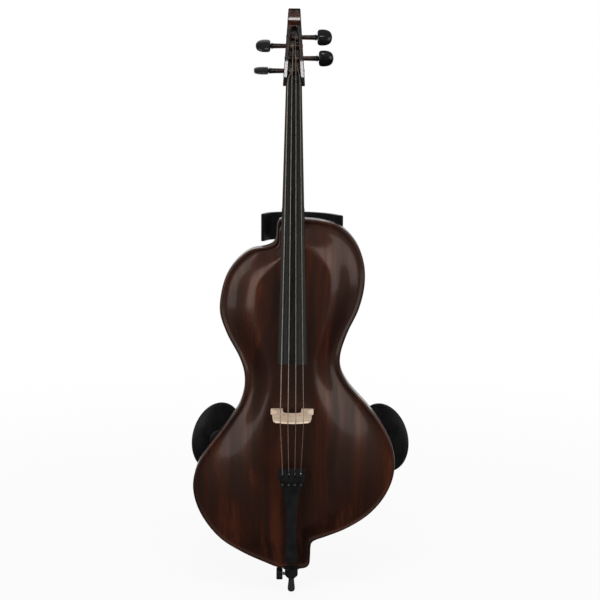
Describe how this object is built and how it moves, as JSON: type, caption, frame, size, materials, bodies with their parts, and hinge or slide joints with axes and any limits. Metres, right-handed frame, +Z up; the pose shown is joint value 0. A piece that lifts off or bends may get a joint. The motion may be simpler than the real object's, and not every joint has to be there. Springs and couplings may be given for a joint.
{
  "type": "electric cello",
  "caption": "Electric cello with an asymmetric S-shaped moulded body, pegbox with a plain curled head, bridge, tailpiece with fine tuners, chest rest and knee rests.",
  "frame": {"origin": "centre of the flat underside of the endpin tip", "axes": "+Z up along the endpin towards the head, -Y out of the belly towards the viewer of the picture, +X to that viewer's right"},
  "size_m": [0.4572, 0.2327, 1.2133],
  "materials": {
    "veneer": "high gloss lacquer over striped dark veneer",
    "neck_wood": "satin oiled maple, orange brown",
    "ebony": "satin black",
    "bridge_maple": "bare, fine grain",
    "inner_wood": "bare",
    "steel": "fine",
    "brass": "plain",
    "black_metal": "satin black",
    "black_plastic": "satin black",
    "black_rubber": "matt",
    "board": "circuit board",
    "pickup": "pale ceramic and resin"
  },
  "bodies": {
    "body": {"body_front": "veneer", "body_back": "veneer", "centre_block": "inner_wood", "end_block": "inner_wood", "pickup_left": "pickup", "pickup_right": "pickup", "neck": "neck_wood", "fingerboard": "ebony", "nut": "ebony", "string_c": "steel", "string_g": "steel", "string_d": "steel", "string_a": "steel", "bridge": "bridge_maple", "tailpiece": "black_plastic", "tuner_axle": "steel", "saddle": "ebony", "tail_cord": "black_plastic", "endpin_collar": "black_metal", "chest_socket": "black_metal", "control_plate": "black_plastic", "preamp_board": "board", "output_jack": "steel", "battery_box": "black_plastic", "battery": "black_plastic"},
    "peg_c": {"peg_c": "ebony"},
    "peg_g": {"peg_g": "ebony"},
    "peg_d": {"peg_d": "ebony"},
    "peg_a": {"peg_a": "ebony"},
    "tuner_screw_c": {"tuner_screw_c": "brass"},
    "tuner_knob_c": {"tuner_knob_c": "black_metal"},
    "tuner_lever_c": {"tuner_lever_c": "steel"},
    "tuner_screw_g": {"tuner_screw_g": "brass"},
    "tuner_knob_g": {"tuner_knob_g": "black_metal"},
    "tuner_lever_g": {"tuner_lever_g": "steel"},
    "tuner_screw_d": {"tuner_screw_d": "brass"},
    "tuner_knob_d": {"tuner_knob_d": "black_metal"},
    "tuner_lever_d": {"tuner_lever_d": "steel"},
    "tuner_screw_a": {"tuner_screw_a": "brass"},
    "tuner_knob_a": {"tuner_knob_a": "black_metal"},
    "tuner_lever_a": {"tuner_lever_a": "steel"},
    "endpin": {"endpin_rod": "steel", "endpin_tip": "black_rubber"},
    "endpin_screw": {"endpin_screw": "steel"},
    "endpin_knob": {"endpin_knob": "black_plastic"},
    "chest_support": {"chest_bracket": "black_metal", "chest_rest": "black_plastic"},
    "chest_screw": {"chest_screw": "steel"},
    "chest_knob": {"chest_knob": "black_plastic"},
    "knee_arm_left": {"knee_arm_left": "black_metal"},
    "knee_plate_left": {"knee_hub_left": "black_metal", "knee_pad_left": "black_plastic"},
    "knee_knob_left": {"knee_knob_left": "black_plastic"},
    "knee_arm_right": {"knee_arm_right": "black_metal"},
    "knee_plate_right": {"knee_hub_right": "black_metal", "knee_pad_right": "black_plastic"},
    "knee_knob_right": {"knee_knob_right": "black_plastic"},
    "volume_knob": {"volume_knob": "black_plastic"},
    "tone_knob": {"tone_knob": "black_plastic"},
    "battery_door": {"battery_door": "black_plastic"}
  },
  "joints": [
    {"name": "peg_c_turn", "type": "hinge", "parent": "body", "child": "peg_c", "pos_m": [0, 0.01996, 1.08906], "axis": [-1, 0, 0], "continuous": true},
    {"name": "peg_g_turn", "type": "hinge", "parent": "body", "child": "peg_g", "pos_m": [0, 0.03528, 1.13823], "axis": [-1, 0, 0], "continuous": true},
    {"name": "peg_d_turn", "type": "hinge", "parent": "body", "child": "peg_d", "pos_m": [0, 0.04063, 1.15542], "axis": [1, 0, 0], "continuous": true},
    {"name": "peg_a_turn", "type": "hinge", "parent": "body", "child": "peg_a", "pos_m": [0, 0.02769, 1.11388], "axis": [1, 0, 0], "continuous": true},
    {"name": "tuner_c_screw", "type": "slide", "parent": "body", "child": "tuner_screw_c", "axis": [0, 0.9763, 0.2164], "range_m": [0, 0.003]},
    {"name": "tuner_c_knob", "type": "hinge", "parent": "tuner_screw_c", "child": "tuner_knob_c", "pos_m": [-0.01875, -0.08149, 0.25824], "axis": [0, 0.9763, 0.2164], "range_deg": [0, 1545]},
    {"name": "tuner_c_lever", "type": "hinge", "parent": "body", "child": "tuner_lever_c", "pos_m": [-0.01875, -0.07568, 0.27592], "axis": [1, 0, 0], "range_deg": [0, 11]},
    {"name": "tuner_g_screw", "type": "slide", "parent": "body", "child": "tuner_screw_g", "axis": [0, 0.9763, 0.2164], "range_m": [0, 0.003]},
    {"name": "tuner_g_knob", "type": "hinge", "parent": "tuner_screw_g", "child": "tuner_knob_g", "pos_m": [-0.00625, -0.08149, 0.25824], "axis": [0, 0.9763, 0.2164], "range_deg": [0, 1545]},
    {"name": "tuner_g_lever", "type": "hinge", "parent": "body", "child": "tuner_lever_g", "pos_m": [-0.00625, -0.07568, 0.27592], "axis": [1, 0, 0], "range_deg": [0, 11]},
    {"name": "tuner_d_screw", "type": "slide", "parent": "body", "child": "tuner_screw_d", "axis": [0, 0.9763, 0.2164], "range_m": [0, 0.003]},
    {"name": "tuner_d_knob", "type": "hinge", "parent": "tuner_screw_d", "child": "tuner_knob_d", "pos_m": [0.00625, -0.08149, 0.25824], "axis": [0, 0.9763, 0.2164], "range_deg": [0, 1545]},
    {"name": "tuner_d_lever", "type": "hinge", "parent": "body", "child": "tuner_lever_d", "pos_m": [0.00625, -0.07568, 0.27592], "axis": [1, 0, 0], "range_deg": [0, 11]},
    {"name": "tuner_a_screw", "type": "slide", "parent": "body", "child": "tuner_screw_a", "axis": [0, 0.9763, 0.2164], "range_m": [0, 0.003]},
    {"name": "tuner_a_knob", "type": "hinge", "parent": "tuner_screw_a", "child": "tuner_knob_a", "pos_m": [0.01875, -0.08149, 0.25824], "axis": [0, 0.9763, 0.2164], "range_deg": [0, 1545]},
    {"name": "tuner_a_lever", "type": "hinge", "parent": "body", "child": "tuner_lever_a", "pos_m": [0.01875, -0.07568, 0.27592], "axis": [1, 0, 0], "range_deg": [0, 11]},
    {"name": "endpin_slide", "type": "slide", "parent": "body", "child": "endpin", "axis": [0, 0, -1], "range_m": [0, 0.28]},
    {"name": "endpin_clamp", "type": "slide", "parent": "body", "child": "endpin_screw", "axis": [-1, 0, 0], "range_m": [0, 0.003]},
    {"name": "endpin_knob_turn", "type": "hinge", "parent": "endpin_screw", "child": "endpin_knob", "pos_m": [-0.02, 0, 0.039], "axis": [-1, 0, 0], "range_deg": [0, 865]},
    {"name": "chest_rest_slide", "type": "slide", "parent": "body", "child": "chest_support", "axis": [0, 1, 0], "range_m": [0, 0.025]},
    {"name": "chest_clamp", "type": "slide", "parent": "body", "child": "chest_screw", "axis": [1, 0, 0], "range_m": [0, 0.003]},
    {"name": "chest_knob_turn", "type": "hinge", "parent": "chest_screw", "child": "chest_knob", "pos_m": [0.02, 0.0504, 0.67], "axis": [1, 0, 0], "range_deg": [0, 865]},
    {"name": "knee_arm_left_swing", "type": "hinge", "parent": "body", "child": "knee_arm_left", "pos_m": [-0.074, 0.043, 0.33002], "axis": [0, -1, 0], "range_deg": [0, 90]},
    {"name": "knee_plate_left_swivel", "type": "hinge", "parent": "knee_arm_left", "child": "knee_plate_left", "pos_m": [-0.153, 0.05, 0.31522], "axis": [0, 1, 0], "range_deg": [-30, 30]},
    {"name": "knee_knob_left_turn", "type": "hinge", "parent": "body", "child": "knee_knob_left", "pos_m": [-0.074, 0.045, 0.33002], "axis": [0, 1, 0], "range_deg": [0, 540]},
    {"name": "knee_arm_right_swing", "type": "hinge", "parent": "body", "child": "knee_arm_right", "pos_m": [0.104, 0.043, 0.33002], "axis": [0, 1, 0], "range_deg": [0, 90]},
    {"name": "knee_plate_right_swivel", "type": "hinge", "parent": "knee_arm_right", "child": "knee_plate_right", "pos_m": [0.187, 0.05, 0.31522], "axis": [0, 1, 0], "range_deg": [-30, 30]},
    {"name": "knee_knob_right_turn", "type": "hinge", "parent": "body", "child": "knee_knob_right", "pos_m": [0.104, 0.045, 0.33002], "axis": [0, 1, 0], "range_deg": [0, 540]},
    {"name": "volume_knob_turn", "type": "hinge", "parent": "body", "child": "volume_knob", "pos_m": [0.04, 0.032, 0.64818], "axis": [0, 1, 0], "range_deg": [-150, 150]},
    {"name": "tone_knob_turn", "type": "hinge", "parent": "body", "child": "tone_knob", "pos_m": [0.04, 0.032, 0.61418], "axis": [0, 1, 0], "range_deg": [-150, 150]},
    {"name": "battery_door_swing", "type": "hinge", "parent": "body", "child": "battery_door", "pos_m": [-0.04, 0.03075, 0.64398], "axis": [1, 0, 0], "range_deg": [0, 110]}
  ],
  "couplings": [
    {"joint": "tuner_c_knob", "follows": "tuner_c_screw", "rad_per_m": 8976},
    {"joint": "tuner_c_lever", "follows": "tuner_c_screw", "rad_per_m": 62.5},
    {"joint": "tuner_g_knob", "follows": "tuner_g_screw", "rad_per_m": 8976},
    {"joint": "tuner_g_lever", "follows": "tuner_g_screw", "rad_per_m": 62.5},
    {"joint": "tuner_d_knob", "follows": "tuner_d_screw", "rad_per_m": 8976},
    {"joint": "tuner_d_lever", "follows": "tuner_d_screw", "rad_per_m": 62.5},
    {"joint": "tuner_a_knob", "follows": "tuner_a_screw", "rad_per_m": 8976},
    {"joint": "tuner_a_lever", "follows": "tuner_a_screw", "rad_per_m": 62.5},
    {"joint": "endpin_knob_turn", "follows": "endpin_clamp", "rad_per_m": 5026.5},
    {"joint": "chest_knob_turn", "follows": "chest_clamp", "rad_per_m": 5026.5}
  ]
}
